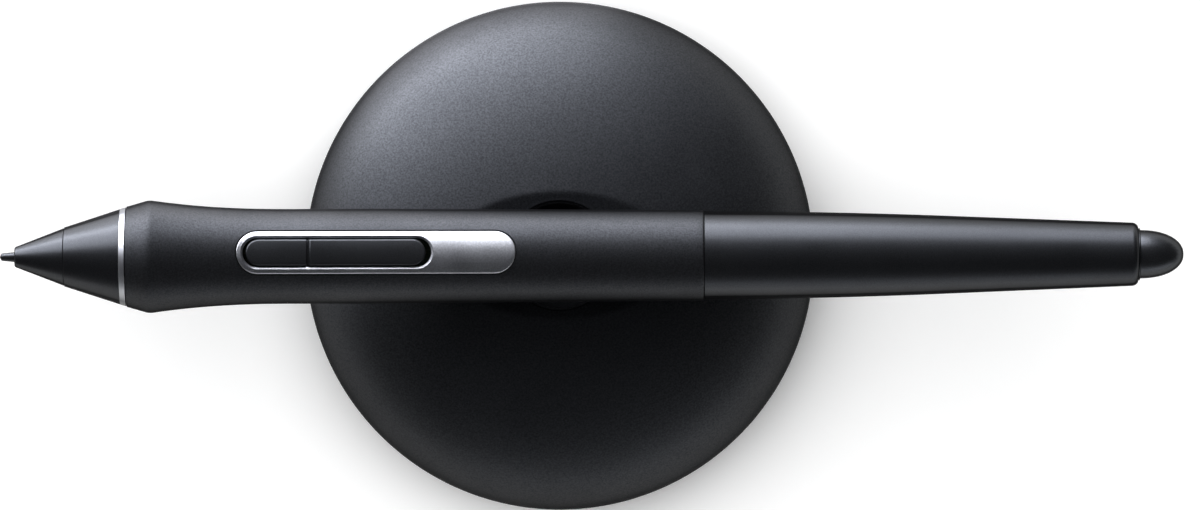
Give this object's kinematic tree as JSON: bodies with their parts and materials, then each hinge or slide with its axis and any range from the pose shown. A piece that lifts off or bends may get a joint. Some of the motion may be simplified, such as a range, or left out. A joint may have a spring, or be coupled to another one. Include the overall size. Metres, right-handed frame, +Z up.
{
  "type": "stylus pen on stand",
  "caption": "Battery-free stylus pen with a two-way side switch, flared rubber grip and eraser end, lying across a round pebble-shaped pen stand with a nib store.",
  "frame": {"origin": "centre of the stand's foot, on the surface that it rests on", "axes": "+Z up along the stand's axis, +X along the pen from its nib to its eraser, +Y to the side that the pen's switch leans to"},
  "size_m": [0.157, 0.0684, 0.0371],
  "materials": {
    "shell_plastic": "fine-grained soft-touch charcoal",
    "base_plastic": "satin black moulding",
    "foot_rubber": "matte black silicone",
    "plain_steel": "plain zinc-plated steel",
    "tray_plastic": "matte dark grey moulding",
    "cup_plastic": "matte black moulding",
    "nib_plastic": "dense dark polymer",
    "nib_felt": "pressed dark felt",
    "nose_plastic": "satin black moulding",
    "ring_metal": "satin anodised",
    "grip_rubber": "soft-touch charcoal with a fine grain",
    "tube_plastic": "hard black tube",
    "plate_metal": "satin plate with bright bevels",
    "key_plastic": "satin charcoal key",
    "board_laminate": "green circuit laminate",
    "chip_epoxy": "black moulded package",
    "capacitor_ceramic": "tan ceramic with tinned ends",
    "ferrite_ceramic": "dark sintered ferrite",
    "coil_copper": "enamelled copper winding",
    "pad_silicone": "translucent silicone",
    "sensor_case": "black moulded sensor case",
    "barrel_plastic": "satin charcoal barrel",
    "eraser_plastic": "satin charcoal eraser"
  },
  "bodies": {
    "stand_base": {"foot_pad": "foot_rubber", "base_pan": "base_plastic", "ballast_ring": "plain_steel", "base_screws": "plain_steel", "nib_tray": "tray_plastic", "nib_extractor": "plain_steel", "spare_nibs_standard": "nib_plastic", "spare_nibs_felt": "nib_felt"},
    "cup": {"well_cup": "cup_plastic"},
    "shell": {"stand_shell": "shell_plastic"},
    "pen": {"grip_sleeve": "grip_rubber", "front_tube": "tube_plastic", "chassis": "tube_plastic", "switch_bezel": "plate_metal", "rocker_pin": "plain_steel", "circuit_board": "board_laminate", "controller_chip": "chip_epoxy", "tuning_capacitors": "capacitor_ceramic", "tact_switch_front": "sensor_case", "tact_switch_rear": "sensor_case", "tip_ferrite": "ferrite_ceramic", "tip_coil": "coil_copper", "nib_return_pad": "pad_silicone", "tip_sensor": "sensor_case", "rear_barrel": "barrel_plastic", "eraser_ferrite": "ferrite_ceramic", "eraser_coil": "coil_copper", "eraser_housing": "tube_plastic", "eraser_return_pad": "pad_silicone", "eraser_sensor": "sensor_case"},
    "nose": {"nose_tip": "nose_plastic", "nose_cone": "nose_plastic", "accent_ring": "ring_metal"},
    "nib_carrier": {"nib_holder": "tube_plastic"},
    "nib_rod": {"nib": "nib_plastic"},
    "rocker": {"side_switch_rocker": "key_plastic"},
    "eraser": {"eraser_cap": "eraser_plastic", "eraser_stem": "tube_plastic"}
  },
  "joints": [
    {"name": "stand_lift", "type": "slide", "parent": "stand_base", "child": "cup", "axis": [0, 0, 1], "range_m": [0, 0.024]},
    {"name": "stand_twist", "type": "hinge", "parent": "cup", "child": "shell", "pos_m": [0, 0, 0.01], "axis": [0, 0, 1], "range_deg": [0, 360]},
    {"name": "pen_lift", "type": "slide", "parent": "shell", "child": "pen", "axis": [0, 0, 1], "range_m": [0, 0.12]},
    {"name": "nose_unscrew", "type": "slide", "parent": "pen", "child": "nose", "axis": [-1, 0, 0], "range_m": [0, 0.03]},
    {"name": "nib_press", "type": "slide", "parent": "pen", "child": "nib_carrier", "axis": [1, 0, 0], "range_m": [0, 0.00025], "stiffness_N_per_m": 3000, "deforming": ["nib_return_pad"]},
    {"name": "nib_pull", "type": "slide", "parent": "nib_carrier", "child": "nib_rod", "axis": [-1, 0, 0], "range_m": [0, 0.02]},
    {"name": "rocker_tilt", "type": "hinge", "parent": "pen", "child": "rocker", "pos_m": [-0.03325, 0.00034, 0.03388], "axis": [0, 0.9969, -0.0785], "range_deg": [-1.8, 1.8], "stiffness_Nm_per_rad": 0.6},
    {"name": "eraser_press", "type": "slide", "parent": "pen", "child": "eraser", "axis": [-1, 0, 0], "range_m": [0, 0.0005], "stiffness_N_per_m": 3000, "deforming": ["eraser_return_pad"]}
  ],
  "couplings": [
    {"joint": "stand_lift", "follows": "stand_twist", "m_per_rad": 0.0038197}
  ]
}
